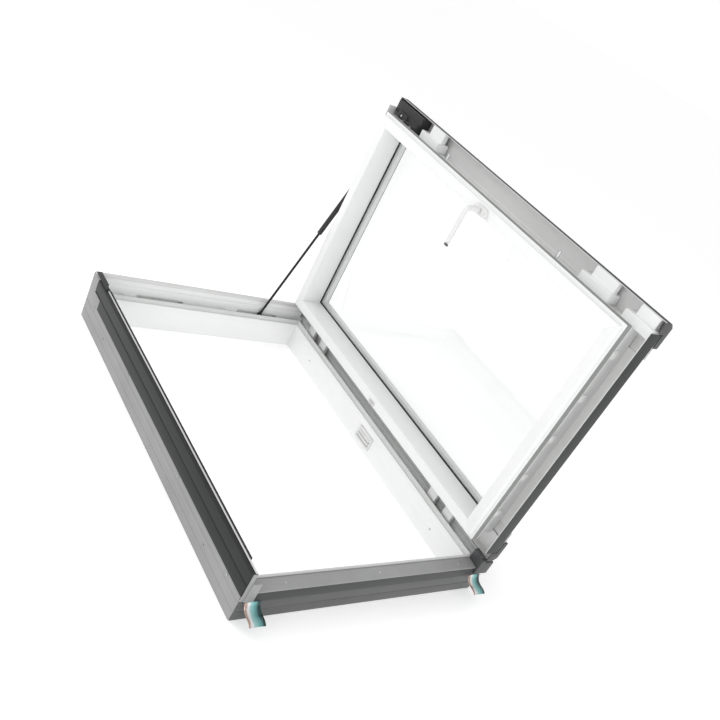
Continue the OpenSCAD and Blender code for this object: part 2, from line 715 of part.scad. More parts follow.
// Flat bar that slides along the edge of the free stile, with its two locking pins.
module locking_bar() {
    bar_t = 3;
    n0 = rim_x - 2 + gap;
    color(steel) on_sash() to_lock() {
        translate([-frame_l*0.36, n0, lock_h - bar_w/2]) cube([frame_l*0.72, bar_t, bar_w]);
        for (s = [-1, 1]) translate([s*lock_pin_y, n0 + bar_t, lock_h]) rotate([-90, 0, 0])
            cylinder(d = lock_pin_d, h = lock_pin_out);
    }
}

// ---- Gas strut ----

head_open_x = hinge_x + head_z - hinge_z;
head_open_z = hinge_z + hinge_x - head_x;
strut_dx = head_open_x - foot_x;
strut_dz = head_open_z - foot_z;
strut_len = norm([strut_dx, strut_dz]);
strut_angle = atan2(strut_dx, strut_dz);
barrel_top = strut_len - 12;
barrel_low = barrel_top - barrel_l;
gland_l = 12;

module along_strut() { translate([foot_x, strut_y, foot_z]) rotate([0, strut_angle, 0]) children(); }
module eye(bore) {
    rotate([90, 0, 0]) difference() {
        cylinder(r = eye_r, h = eye_t, center = true);
        cylinder(d = bore, h = eye_t + 2, center = true);
    }
}

// Pin through the strut's foot, standing on the stay rail.
module strut_foot_pin() {
    color(steel) translate([foot_x, ledge_y - rail_depth, foot_z]) rotate([90, 0, 0]) {
        cylinder(d = pin_d, h = ledge_y - rail_depth - strut_y + eye_t/2 + 2);
        cylinder(d = pin_d + 5, h = 1.5);
    }
}

module strut_rod() {
    color(black) along_strut() {
        eye(pin_d + 2*fit);
        translate([0, 0, eye_r - 1]) cylinder(d1 = 11, d2 = rod_d, h = 12);
        translate([0, 0, eye_r]) cylinder(d = rod_d, h = barrel_low + 20 - eye_r);
        translate([0, 0, barrel_low + gland_l + 2]) cylinder(d = barrel_d - 3 - 2*fit, h = 8);
    }
}

module strut_barrel() {
    color(black) along_strut() {
        difference() {
            translate([0, 0, barrel_low]) cylinder(d = barrel_d, h = barrel_l);
            translate([0, 0, barrel_low + gland_l]) cylinder(d = barrel_d - 3, h = barrel_l - gland_l - 10);
            translate([0, 0, barrel_low - 1]) cylinder(d = rod_d + 2*fit, h = gland_l + 2);
        }
        translate([0, 0, barrel_top - 0.5]) cylinder(d = 9, h = 6);
        translate([0, 0, strut_len]) eye(pin_d + 1);
    }
}

module strut_head_stud() {
    stud_y = rim_y - 2;
    color(steel) swung_open() translate([head_x, stud_y, head_z]) rotate([-90, 0, 0]) {
        cylinder(d = pin_d, h = strut_y - eye_t/2 - gap - stud_y);
        cylinder(d = 18, h = 3);
    }
}

frame_top_rail();
frame_bottom_rail();
frame_lock_jamb();
frame_hinge_jamb();
frame_top_cover();
lock_side_skirt();
lock_side_cover();
bottom_skirt();
bottom_drip_cover();
hinge_side_cover();
lock_side_seal();
hinge_side_seal();
inner_seal();
stay_rails();
rail_end_bosses();
rail_brackets();
strike_plates();
centre_catch_frame();
cover_end_cap_top();
cover_end_cap_bottom();
hinge_corner_block();
hanging_straps();
frame_screws();
hinge_frame_leaf_upper();
hinge_frame_leaf_lower();
hinge_pins();
strut_foot_pin();
sash_top_rail();
sash_bottom_rail();
sash_free_stile();
sash_hinge_stile();
sash_edge_seal();
glazing_seal_inner();
glazing_seal_outer();
pane_inner();
spacer_bar();
pane_outer();
sash_top_cover();
sash_bottom_cover();
sash_free_cover();
sash_hinge_cover();
cover_clips();
bottom_plugs();
free_cover_end_cap();
hinge_cover_end_cap();
lock_end_block();
end_block_screws();
hinge_sash_leaf_upper();
hinge_sash_leaf_lower();
centre_catch_sash();
lock_case();
handle_base();
strut_head_stud();
locking_bar();
handle_lever();
lever_tip();
strut_rod();
strut_barrel();
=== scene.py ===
# A side-hung roof window standing open: frame, glazed sash, covers, seals, fittings, handle and gas strut.
import json
import math

import bmesh
import bpy
from mathutils import Matrix, Vector


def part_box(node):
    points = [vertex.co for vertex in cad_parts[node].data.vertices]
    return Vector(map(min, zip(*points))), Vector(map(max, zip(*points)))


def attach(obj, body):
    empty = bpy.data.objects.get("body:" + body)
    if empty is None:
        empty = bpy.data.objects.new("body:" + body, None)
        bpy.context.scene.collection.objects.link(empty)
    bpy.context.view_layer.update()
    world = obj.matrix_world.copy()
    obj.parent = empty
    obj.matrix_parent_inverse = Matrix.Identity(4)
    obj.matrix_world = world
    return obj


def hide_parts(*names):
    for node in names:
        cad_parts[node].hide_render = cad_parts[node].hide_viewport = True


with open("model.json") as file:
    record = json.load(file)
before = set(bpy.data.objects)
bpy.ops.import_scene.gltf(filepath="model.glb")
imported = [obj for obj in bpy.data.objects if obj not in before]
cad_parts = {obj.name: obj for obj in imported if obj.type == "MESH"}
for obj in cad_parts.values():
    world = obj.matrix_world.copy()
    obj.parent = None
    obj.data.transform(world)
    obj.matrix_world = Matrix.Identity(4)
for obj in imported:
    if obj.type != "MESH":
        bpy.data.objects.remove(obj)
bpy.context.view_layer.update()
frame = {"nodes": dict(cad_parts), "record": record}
nodes = frame["nodes"]

# ---- View, floor and light ----
# The window lies on a plain pale floor under a large soft studio light. The camera stands above the
# lock side's lower corner, turned about its own axis, so the window seems to lie on a slope.
eye = Vector((-1.3436, -1.5310, 1.3376))
looking = Vector((0.6550, 0.5723, -0.4934)).normalized()
picture_up = Vector((-0.0192, 0.6653, 0.7463))
picture_right = looking.cross(picture_up).normalized()
picture_up = picture_right.cross(looking)

camera_data = bpy.data.cameras.new("camera")
camera_data.lens = 41.3
camera_data.sensor_width = 36
camera_data.shift_x = -0.0229
camera_data.shift_y = 0.1168
camera_data.clip_end = 400
camera = bpy.data.objects.new("camera", camera_data)
turned = Matrix((picture_right, picture_up, -looking)).transposed().to_4x4()
camera.matrix_world = Matrix.Translation(eye) @ turned
bpy.context.collection.objects.link(camera)
bpy.context.scene.camera = camera

floor_mesh = bpy.data.meshes.new("floor")
floor_bm = bmesh.new()
bmesh.ops.create_circle(floor_bm, cap_ends=True, radius=90, segments=96)
floor_bm.to_mesh(floor_mesh)
floor_bm.free()
floor = bpy.data.objects.new("floor", floor_mesh)
floor.location = (0, 0, -0.0005)
bpy.context.collection.objects.link(floor)
floor_paint = bpy.data.materials.new("floor_paint")
floor_paint.use_nodes = True
floor_shader = floor_paint.node_tree.nodes["Principled BSDF"]
floor_shader.inputs["Base Color"].default_value = (0.93, 0.93, 0.93, 1)
floor_shader.inputs["Roughness"].default_value = 0.9
floor_shader.inputs["Specular IOR Level"].default_value = 0.1
floor_shader.inputs["Emission Color"].default_value = (1, 1, 1, 1)
floor_shader.inputs["Emission Strength"].default_value = 0.30
floor_mesh.materials.append(floor_paint)

world = bpy.data.worlds.new("studio")
world.use_nodes = True
world_tree = world.node_tree
world_tree.nodes["Background"].inputs["Color"].default_value = (1, 1, 1, 1)
world_ray = world_tree.nodes.new("ShaderNodeLightPath")
world_power = world_tree.nodes.new("ShaderNodeMapRange")
world_power.inputs["To Min"].default_value = 0.74
world_power.inputs["To Max"].default_value = 1.0
world_tree.links.new(world_ray.outputs["Is Camera Ray"], world_power.inputs["Value"])
world_tree.links.new(world_power.outputs["Result"], world_tree.nodes["Background"].inputs["Strength"])
bpy.context.scene.world = world
bpy.context.scene.view_settings.view_transform = "Standard"


def soft_light(name, place, target, size, power):
    """A square area light that looks from place to target."""
    data = bpy.data.lights.new(name, "AREA")
    data.size = size
    data.energy = power
    lamp = bpy.data.objects.new(name, data)
    lamp.location = place
    lamp.rotation_euler = (Vector(target) - Vector(place)).to_track_quat("-Z", "Y").to_euler()
    bpy.context.collection.objects.link(lamp)


soft_light("key_light", (-1.6, 1.8, 2.6), (0, 0, 0.2), 1.6, 24)
soft_light("edge_light", (-2.6, -1.2, 1.2), (0, 0, 0.3), 1.0, 8)
soft_light("sill_side_light", (-0.3, -3.2, 1.2), (0.3, -0.4, 0.5), 1.6, 20)

# ---- White plastic: frame and sash profiles ----
# The frame and the sash are welded from extruded white plastic profiles with a smooth satin skin.
# Edges are drawn with a small radius, faint lines run along the extrusion, and the mitred corners are
# cut clean, so a fine groove shows at each one.


def value_socket(group, name, way, kind, start=None):
    socket = group.interface.new_socket(name=name, in_out=way, socket_type=kind)
    if start is not None:
        socket.default_value = start
    return socket


def new_group(name, inputs, outputs):
    """An empty shader group with its sockets, and its two end nodes."""
    group = bpy.data.node_groups.new(name, "ShaderNodeTree")
    for label, kind, start in inputs:
        value_socket(group, label, "INPUT", kind, start)
    for label, kind in outputs:
        value_socket(group, label, "OUTPUT", kind)
    return group, group.nodes.new("NodeGroupInput"), group.nodes.new("NodeGroupOutput")


def skin_grain_group():
    """Fine skin of a moulded or painted surface: a height for bump and a slow change of tone."""
    group, given, out = new_group(
        "skin_grain",
        [("Grain Scale", "NodeSocketFloat", 900.0), ("Cloud Scale", "NodeSocketFloat", 6.0)],
        [("Height", "NodeSocketFloat"), ("Tone", "NodeSocketFloat")])
    place = group.nodes.new("ShaderNodeTexCoord")
    grain = group.nodes.new("ShaderNodeTexNoise")
    grain.inputs["Detail"].default_value = 3
    cloud = group.nodes.new("ShaderNodeTexNoise")
    cloud.inputs["Detail"].default_value = 5
    cloud.inputs["Roughness"].default_value = 0.65
    group.links.new(place.outputs["Object"], grain.inputs["Vector"])
    group.links.new(place.outputs["Object"], cloud.inputs["Vector"])
    group.links.new(given.outputs["Grain Scale"], grain.inputs["Scale"])
    group.links.new(given.outputs["Cloud Scale"], cloud.inputs["Scale"])
    group.links.new(grain.outputs["Fac"], out.inputs["Height"])
    group.links.new(cloud.outputs["Fac"], out.inputs["Tone"])
    return group


def drawn_lines_group():
    """Long faint lines left by rolling or extrusion, the same along the row's X and Y."""
    group, given, out = new_group(
        "drawn_lines",
        [("Line Scale", "NodeSocketFloat", 700.0), ("Length", "NodeSocketFloat", 0.02)],
        [("Lines", "NodeSocketFloat")])
    place = group.nodes.new("ShaderNodeTexCoord")
    parts = group.nodes.new("ShaderNodeSeparateXYZ")
    short_y = group.nodes.new("ShaderNodeMath")
    short_y.operation = "MULTIPLY"
    joined = group.nodes.new("ShaderNodeCombineXYZ")
    lines = group.nodes.new("ShaderNodeTexNoise")
    lines.inputs["Detail"].default_value = 2
    group.links.new(place.outputs["Object"], parts.inputs["Vector"])
    group.links.new(parts.outputs["Y"], short_y.inputs[0])
    group.links.new(given.outputs["Length"], short_y.inputs[1])
    group.links.new(parts.outputs["X"], joined.inputs["X"])
    group.links.new(short_y.outputs[0], joined.inputs["Y"])
    group.links.new(parts.outputs["Z"], joined.inputs["Z"])
    group.links.new(joined.outputs["Vector"], lines.inputs["Vector"])
    group.links.new(given.outputs["Line Scale"], lines.inputs["Scale"])
    group.links.new(lines.outputs["Fac"], out.inputs["Lines"])
    return group


skin_grain = skin_grain_group()
drawn_lines = drawn_lines_group()


def finish_material(name, colour, shade, roughness, rough_swing, grain_scale, grain_depth,
                    metallic=0.0, cloud_scale=6.0, line_depth=0.0, coat=0.0, specular=0.5):
    """A surface whose colour drifts between colour and shade, with a fine bump and uneven gloss."""
    material = bpy.data.materials.new(name)
    material.use_nodes = True
    tree = material.node_tree
    shader = tree.nodes["Principled BSDF"]
    shader.inputs["Metallic"].default_value = metallic
    shader.inputs["Coat Weight"].default_value = coat
    shader.inputs["Specular IOR Level"].default_value = specular
    shader.inputs["Coat Roughness"].default_value = 0.12
    skin = tree.nodes.new("ShaderNodeGroup")
    skin.node_tree = skin_grain
    skin.inputs["Grain Scale"].default_value = grain_scale
    skin.inputs["Cloud Scale"].default_value = cloud_scale
    ramp = tree.nodes.new("ShaderNodeValToRGB")
    ramp.color_ramp.elements[0].position = 0.3
    ramp.color_ramp.elements[0].color = (*shade, 1)
    ramp.color_ramp.elements[1].position = 0.7
    ramp.color_ramp.elements[1].color = (*colour, 1)
    tree.links.new(skin.outputs["Tone"], ramp.inputs["Fac"])
    tree.links.new(ramp.outputs["Color"], shader.inputs["Base Color"])
    gloss = tree.nodes.new("ShaderNodeMapRange")
    gloss.inputs["To Min"].default_value = roughness - rough_swing
    gloss.inputs["To Max"].default_value = roughness + rough_swing
    tree.links.new(skin.outputs["Tone"], gloss.inputs["Value"])
    tree.links.new(gloss.outputs["Result"], shader.inputs["Roughness"])
    bump = tree.nodes.new("ShaderNodeBump")
    bump.inputs["Distance"].default_value = grain_depth
    bump.inputs["Strength"].default_value = 0.6
    height = skin.outputs["Height"]
    if line_depth:
        drawn = tree.nodes.new("ShaderNodeGroup")
        drawn.node_tree = drawn_lines
        add = tree.nodes.new("ShaderNodeMath")
        add.operation = "MULTIPLY_ADD"
        add.inputs[1].default_value = line_depth
        tree.links.new(drawn.outputs["Lines"], add.inputs[0])
        tree.links.new(height, add.inputs[2])
        height = add.outputs[0]
    tree.links.new(height, bump.inputs["Height"])
    tree.links.new(bump.outputs["Normal"], shader.inputs["Normal"])
    return material


white_plastic = finish_material("white_plastic", (0.87, 0.875, 0.87), (0.835, 0.845, 0.84), 0.34, 0.05,
                                1400, 0.00004, line_depth=0.6, coat=0.15)


def rounded(node, material, radius, steps=3, sharp=34):
    """Stands a copy of a CAD piece in its place, with its edges rounded to the given radius."""
    bm = bmesh.new()
    bm.from_mesh(nodes[node].data)
    bmesh.ops.remove_doubles(bm, verts=bm.verts, dist=0.000002)
    bmesh.ops.dissolve_limit(bm, angle_limit=math.radians(0.4), verts=bm.verts, edges=bm.edges)
    mesh = bpy.data.meshes.new(node + "_piece")
    bm.to_mesh(mesh)
    bm.free()
    piece = bpy.data.objects.new(node + "_piece", mesh)
    bpy.context.collection.objects.link(piece)
    bevel = piece.modifiers.new("edge", "BEVEL")
    bevel.width = radius
    bevel.segments = steps
    bevel.limit_method = "ANGLE"
    bevel.angle_limit = math.radians(sharp)
    bevel.miter_outer = "MITER_ARC"
    bpy.context.view_layer.update()
    made = bpy.data.meshes.new_from_object(piece.evaluated_get(bpy.context.evaluated_depsgraph_get()))
    piece.modifiers.clear()
    piece.data = made
    for polygon in made.polygons:
        polygon.use_smooth = True
    made.set_sharp_from_angle(angle=math.radians(sharp))
    made.materials.clear()
    made.materials.append(material)
    body = next(name for name, held in frame["record"]["behaviour"]["bodies"].items() if node in held)
    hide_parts(node)
    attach(piece, body)
    return piece


for member in ("frame_top_rail", "frame_bottom_rail", "frame_lock_jamb", "frame_hinge_jamb",
               "sash_top_rail", "sash_bottom_rail", "sash_free_stile", "sash_hinge_stile"):
    rounded(member, white_plastic, 0.0008)

# ---- Aluminium covers ----
# Folded aluminium sheet, powder coated: mid grey on the lock side's skirt, paler on the top end and
# inside the folds, and dark grey elsewhere. The coat has a fine orange peel and an uneven gloss. Some
# tones are painted shade: the bottom skirt is darker than the lock side's skirt, the lock side's wall
# is darker than the other dark covers, and the sill's front faces and the wall's grooves are near black.
grey_coat = finish_material("grey_coat", (0.335, 0.338, 0.335), (0.285, 0.288, 0.285), 0.44, 0.06,
                            1100, 0.00004, metallic=0.15, line_depth=0.2)
sill_coat = finish_material("sill_coat", (0.36, 0.363, 0.36), (0.31, 0.313, 0.31), 0.44, 0.06,
                            1100, 0.00004, metallic=0.15, line_depth=0.2)
# Near black for the sill's faces turned to the front, on the same sheet as sill_coat: painted shade for a
# dark reflection.
sill_front_painted_shade = finish_material("sill_front_painted_shade", (0.034, 0.035, 0.036), (0.026, 0.027, 0.028), 0.44, 0.06,
                            1100, 0.00004)
pale_coat = finish_material("pale_coat", (0.74, 0.74, 0.735), (0.67, 0.67, 0.665), 0.40, 0.06,
                            1100, 0.00005, metallic=0.25, line_depth=0.3, coat=0.1)
white_coat = finish_material("white_coat", (0.80, 0.80, 0.795), (0.74, 0.74, 0.735), 0.42, 0.06,
                             1100, 0.00005)
dark_coat = finish_material("dark_coat", (0.050, 0.051, 0.052), (0.036, 0.037, 0.038), 0.46, 0.06,
                            1100, 0.00006, specular=0.22)
# The lock side's wall: its real dark grey coat, set darker than dark_coat as painted shade for the dark
# reflection along the wall.
wall_coat_with_painted_shade = finish_material("wall_coat_with_painted_shade", (0.032, 0.033, 0.033), (0.024, 0.025, 0.025), 0.5, 0.06,
                            1100, 0.00006, specular=0.2)
# The bottom skirt's grey: the same cladding as the lock side's skirt, made darker as painted shade on this
# face turned from the key light.
skirt_coat_with_painted_shade = finish_material("skirt_coat_with_painted_shade", (0.105, 0.106, 0.108), (0.082, 0.083, 0.085), 0.40, 0.06,
                           1100, 0.00006, metallic=0.3, coat=0.1)
for cover in ("lock_side_skirt", "cover_end_cap_bottom"):
    rounded(cover, grey_coat, 0.0006)
rounded("frame_top_cover", pale_coat, 0.0006)
rounded("bottom_skirt", skirt_coat_with_painted_shade, 0.0006)
wall_cover = rounded("lock_side_cover", wall_coat_with_painted_shade, 0.0005)
# Near black on the flat floors of the two grooves on the wall's top: painted shade.
groove_painted_shade = finish_material("groove_painted_shade", (0.012, 0.012, 0.013), (0.008, 0.008, 0.009), 0.6, 0.08,
                              1100, 0.00004)
wall_cover.data.materials.append(groove_painted_shade)
wall_cover.data.materials.append(pale_coat)
wall_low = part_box("lock_side_cover")[0]
groove_reach = (0.007, 0.0092)
edge_reach = (0.010, 0.015)
facing = 0.9
# Top faces in the groove band take the painted shade; top faces in the edge band take pale_coat as a pale
# strip.
for polygon in wall_cover.data.polygons:
    inward = polygon.center.x - wall_low[0]
    if polygon.normal.z > facing and groove_reach[0] < inward < groove_reach[1]:
        polygon.material_index = 1
    elif polygon.normal.z > facing and edge_reach[0] < inward < edge_reach[1]:
        polygon.material_index = 2


def coated_inside(node, outside, inside, out):
    """A rounded cover with a second finish on faces turned from the out directions or far behind."""
    piece = rounded(node, outside, 0.0006)
    piece.data.materials.append(inside)
    side = Vector(out[1])
    reach = max(corner.co.dot(side) for corner in piece.data.vertices)
    turned, fold_depth, buried_depth = -0.25, 0.03, 0.02
    for polygon in piece.data.polygons:
        behind = reach - polygon.center.dot(side)
        faces_side = polygon.normal.dot(side)
        turned_in = faces_side < turned and behind < fold_depth
        buried = faces_side > 0.5 and behind > buried_depth
        if turned_in or buried or polygon.normal.dot(Vector(out[0])) < turned:
            polygon.material_index = 1
    return piece


sill = rounded("bottom_drip_cover", sill_coat, 0.0006)
sill.data.materials.append(sill_front_painted_shade)
# Faces turned to the front take the near black of the painted shade.
for polygon in sill.data.polygons:
    if polygon.normal.y < -facing:
        polygon.material_index = 1
coated_inside("hinge_side_cover", dark_coat, pale_coat, ((0, 0, -1), (1, 0, 0)))
coated_inside("sash_free_cover", dark_coat, pale_coat, ((1, 0, 0), (0, 0, 1)))
coated_inside("sash_hinge_cover", dark_coat, pale_coat, ((1, 0, 0), (0, 0, -1)))
coated_inside("sash_bottom_cover", dark_coat, white_coat, ((1, 0, 0), (0, -1, 0)))
coated_inside("sash_top_cover", dark_coat, white_coat, ((1, 0, 0), (0, 1, 0)))

# ---- Seals ----
# Extruded rubber: a black bulb on the lock side's wall and a grey one on the hinge side's, a pale lip
# round the opening, a grey ribbed seal on the sash's edge, and glazing seals, black inside, pale outside.
black_rubber = finish_material("black_rubber", (0.018, 0.018, 0.019), (0.012, 0.012, 0.013), 0.62, 0.08,
                               1800, 0.00006)
grey_rubber = finish_material("grey_rubber", (0.30, 0.305, 0.30), (0.25, 0.255, 0.25), 0.60, 0.08,
                              1800, 0.00006)
mid_rubber = finish_material("mid_rubber", (0.60, 0.605, 0.60), (0.54, 0.545, 0.54), 0.60, 0.08,
                             1800, 0.00006)
rounded("lock_side_seal", black_rubber, 0.0007)
rounded("hinge_side_seal", mid_rubber, 0.0007)


def coated(node, material):
    """Gives a CAD piece whose shape is right as it stands its own finish."""
    nodes[node].data.materials.clear()
    nodes[node].data.materials.append(material)


coated("glazing_seal_inner", black_rubber)
coated("sash_edge_seal", grey_rubber)
light_rubber = finish_material("light_rubber", (0.70, 0.705, 0.70), (0.64, 0.645, 0.64), 0.58, 0.08,
                               1800, 0.00006)
for seal in ("inner_seal", "glazing_seal_outer"):
    coated(seal, light_rubber)

# ---- Glass and spacer ----
# Two clear panes with an aluminium spacer bar between them, perforated along its visible face.
glass = bpy.data.materials.new("clear_glass")
glass.use_nodes = True
glass_shader = glass.node_tree.nodes["Principled BSDF"]
glass_shader.inputs["Base Color"].default_value = (0.985, 0.995, 0.99, 1)
glass_shader.inputs["IOR"].default_value = 1.45
glass_shader.inputs["Transmission Weight"].default_value = 1.0
glass_skin = glass.node_tree.nodes.new("ShaderNodeGroup")
glass_skin.node_tree = skin_grain
glass_skin.inputs["Grain Scale"].default_value = 60
glass_skin.inputs["Cloud Scale"].default_value = 3
glass_film = glass.node_tree.nodes.new("ShaderNodeMapRange")
glass_film.inputs["From Min"].default_value = 0.45
glass_film.inputs["From Max"].default_value = 0.85
glass_film.inputs["To Min"].default_value = 0.0
glass_film.inputs["To Max"].default_value = 0.03
glass.node_tree.links.new(glass_skin.outputs["Tone"], glass_film.inputs["Value"])
glass.node_tree.links.new(glass_film.outputs["Result"], glass_shader.inputs["Roughness"])
glass_wave = glass.node_tree.nodes.new("ShaderNodeBump")
glass_wave.inputs["Distance"].default_value = 0.000004
glass.node_tree.links.new(glass_skin.outputs["Height"], glass_wave.inputs["Height"])
glass.node_tree.links.new(glass_wave.outputs["Normal"], glass_shader.inputs["Normal"])
glass_tree = glass.node_tree
glass_ray = glass_tree.nodes.new("ShaderNodeLightPath")
glass_pass = glass_tree.nodes.new("ShaderNodeMath")
glass_pass.operation = "MAXIMUM"
glass_clear = glass_tree.nodes.new("ShaderNodeBsdfTransparent")
glass_clear.inputs["Color"].default_value = (0.96, 0.97, 0.965, 1)
glass_mix = glass_tree.nodes.new("ShaderNodeMixShader")
glass_tree.links.new(glass_ray.outputs["Is Shadow Ray"], glass_pass.inputs[0])
glass_tree.links.new(glass_ray.outputs["Is Diffuse Ray"], glass_pass.inputs[1])
glass_tree.links.new(glass_pass.outputs[0], glass_mix.inputs["Fac"])
glass_tree.links.new(glass_shader.outputs["BSDF"], glass_mix.inputs[1])
glass_tree.links.new(glass_clear.outputs["BSDF"], glass_mix.inputs[2])
glass_tree.links.new(glass_mix.outputs["Shader"], glass_tree.nodes["Material Output"].inputs["Surface"])
for pane in ("pane_inner", "pane_outer"):
    coated(pane, glass)
spacer_metal = finish_material("spacer_metal", (0.80, 0.80, 0.80), (0.74, 0.74, 0.74), 0.5, 0.05,
                               600, 0.00005, metallic=0.2, line_depth=0.5)
coated("spacer_bar", spacer_metal)

# ---- Steel fittings ----
# Galvanised and polished steel: stay rails, brackets, keepers, hinge leaves, pins, the locking bar and
# the screws. The sheet shows fine rolling lines.
steel = finish_material("steel", (0.60, 0.61, 0.62), (0.50, 0.51, 0.52), 0.30, 0.08,
                        900, 0.00004, metallic=0.95, line_depth=0.8)
for fitting in ("rail_brackets", "strike_plates", "hinge_pins", "strut_foot_pin", "strut_head_stud",
                "locking_bar", "lock_case", "end_block_screws"):
    rounded(fitting, steel, 0.0004)
satin_metal = finish_material("satin_metal", (0.74, 0.745, 0.74), (0.64, 0.645, 0.64), 0.42, 0.08,
                              900, 0.00004, metallic=0.4, line_depth=0.8)
for fitting in ("stay_rails", "hinge_frame_leaf_upper", "hinge_frame_leaf_lower"):
    rounded(fitting, satin_metal, 0.0004)


def cross_screw(name, place, out, radius, body):
    """A domed screw head with a cross recess, standing on place and facing out."""
    bm = bmesh.new()
    rings = ((1.0, 0.0), (1.0, 0.22), (0.86, 0.40), (0.55, 0.52), (0.2, 0.56))
    turns = 24
    rows = []
    for share, rise in rings:
        rows.append([bm.verts.new((radius*share*math.cos(2*math.pi*k/turns),
                                   radius*share*math.sin(2*math.pi*k/turns), radius*rise))
                     for k in range(turns)])
    for low, high in zip(rows, rows[1:]):
        for k in range(turns):
            bm.faces.new((low[k], low[(k + 1) % turns], high[(k + 1) % turns], high[k]))
    bm.faces.new(rows[-1])
    bm.faces.new(list(reversed(rows[0])))
    mesh = bpy.data.meshes.new(name)
    bm.to_mesh(mesh)
    bm.free()
    head = bpy.data.objects.new(name, mesh)
    bpy.context.collection.objects.link(head)
    for wide, tall in ((1.15, 0.24), (0.24, 1.15)):
        cut_mesh = bpy.data.meshes.new("cut")
        cut_bm = bmesh.new()
        bmesh.ops.create_cube(cut_bm, size=1)
        bmesh.ops.scale(cut_bm, vec=(radius*wide, radius*tall, radius*0.6), verts=cut_bm.verts)
        bmesh.ops.translate(cut_bm, vec=(0, 0, radius*0.62), verts=cut_bm.verts)
        cut_bm.to_mesh(cut_mesh)
        cut_bm.free()
        cutter = bpy.data.objects.new("cut", cut_mesh)
        bpy.context.collection.objects.link(cutter)
        slot = head.modifiers.new("slot", "BOOLEAN")
        slot.operation = "DIFFERENCE"
        slot.object = cutter
        bpy.context.view_layer.update()
        graph = bpy.context.evaluated_depsgraph_get()
        head.data = bpy.data.meshes.new_from_object(head.evaluated_get(graph))
        head.modifiers.clear()
        bpy.data.objects.remove(cutter)
    spin = Vector(out).to_track_quat("Z", "Y").to_matrix().to_4x4()
    head.data.transform(Matrix.Translation(Vector(place)) @ spin)
    for polygon in head.data.polygons:
        polygon.use_smooth = True
    head.data.set_sharp_from_angle(angle=math.radians(40))
    head.data.materials.clear()
    head.data.materials.append(steel)
    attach(head, body)
    return head


small_head_r = 0.0034
skirt_screw_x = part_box("frame_screws")[0][0] + 0.0006
skirt_screw_z = 0.072
skirt_low, skirt_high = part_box("lock_side_skirt")
for number, share in enumerate((0.94, 0.67, 0.33, 0.06)):
    screw_y = skirt_low[1] + share*(skirt_high[1] - skirt_low[1])
    skirt_screw = cross_screw(f"skirt_screw_{number}", (skirt_screw_x, screw_y, skirt_screw_z),
                              (-1, 0, 0), small_head_r, "frame")
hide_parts("frame_screws")
sill_low, sill_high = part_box("bottom_drip_cover")
sill_screw_y = sill_low[1] + 0.018
sill_screw_z = sill_high[2] - 0.0019
sill_out = (0, -0.12, 0.99)
for number, share in enumerate((0.14, 0.53, 0.92)):
    screw_x = sill_low[0] + share*(sill_high[0] - sill_low[0])
    cross_screw(f"sill_screw_{number}", (screw_x, sill_screw_y, sill_screw_z),
                sill_out, small_head_r, "frame")

# ---- Moulded fittings on the frame ----
# White bosses on the stay rails, the ribbed catch on the lining, and black or dark grey moulded caps
# that close the covers. All are injection moulded, with soft edges and a fine spark-eroded texture.
black_plastic = finish_material("black_plastic", (0.026, 0.026, 0.028), (0.018, 0.018, 0.019), 0.48, 0.08,
                                1600, 0.00010)
dark_plastic = finish_material("dark_plastic", (0.075, 0.076, 0.078), (0.055, 0.056, 0.058), 0.46, 0.08,
                               1600, 0.00010)
rounded("rail_end_bosses", white_plastic, 0.0012)
catch_plastic = finish_material("catch_plastic", (0.80, 0.80, 0.795), (0.70, 0.70, 0.695), 0.4, 0.06,
                                1500, 0.00008)
rounded("centre_catch_frame", catch_plastic, 0.0016)
rounded("cover_end_cap_top", black_plastic, 0.0012)
rounded("hinge_corner_block", dark_plastic, 0.0014)
rounded("free_cover_end_cap", dark_plastic, 0.0008)
rounded("hinge_cover_end_cap", dark_plastic, 0.0008)
rounded("lock_end_block", black_plastic, 0.0014)

# ---- Bent straps ----
# Two straps of bright thin sheet hang out below the sill, bent in a loose S. Their polished skin is
# coloured in bands of sea green, white and warm brown, changing across the strap's width and waved by
# noise.
strap_skin = bpy.data.materials.new("strap_skin")
strap_skin.use_nodes = True
strap_tree = strap_skin.node_tree
strap_shader = strap_tree.nodes["Principled BSDF"]
strap_shader.inputs["Metallic"].default_value = 0.55
strap_shader.inputs["Roughness"].default_value = 0.22
strap_shader.inputs["Coat Weight"].default_value = 0.5
strap_uv = strap_tree.nodes.new("ShaderNodeUVMap")
strap_uv.uv_map = "across"
strap_split = strap_tree.nodes.new("ShaderNodeSeparateXYZ")
strap_bend = strap_tree.nodes.new("ShaderNodeTexNoise")
strap_bend.inputs["Scale"].default_value = 1.6
strap_bend.inputs["Detail"].default_value = 1
strap_shift = strap_tree.nodes.new("ShaderNodeMath")
strap_shift.operation = "MULTIPLY_ADD"
strap_shift.inputs[1].default_value = 0.35
strap_ramp = strap_tree.nodes.new("ShaderNodeValToRGB")
strap_ramp.color_ramp.interpolation = "EASE"
strap_bands = ((0.0, (0.66, 0.60, 0.58)), (0.24, (0.42, 0.27, 0.22)), (0.38, (0.80, 0.80, 0.80)),
               (0.54, (0.30, 0.56, 0.55)), (0.80, (0.12, 0.34, 0.34)), (0.97, (0.01, 0.05, 0.05)))
strap_ramp.color_ramp.elements[0].color = (*strap_bands[0][1], 1)
strap_ramp.color_ramp.elements[1].color = (*strap_bands[-1][1], 1)
for stop, colour in strap_bands[1:-1]:
    strap_ramp.color_ramp.elements.new(stop).color = (*colour, 1)
strap_tree.links.new(strap_uv.outputs["UV"], strap_split.inputs["Vector"])
strap_tree.links.new(strap_uv.outputs["UV"], strap_bend.inputs["Vector"])
strap_tree.links.new(strap_bend.outputs["Fac"], strap_shift.inputs[0])
strap_tree.links.new(strap_split.outputs["X"], strap_shift.inputs[2])
strap_tree.links.new(strap_shift.outputs[0], strap_ramp.inputs["Fac"])
strap_tree.links.new(strap_ramp.outputs["Color"], strap_shader.inputs["Base Color"])


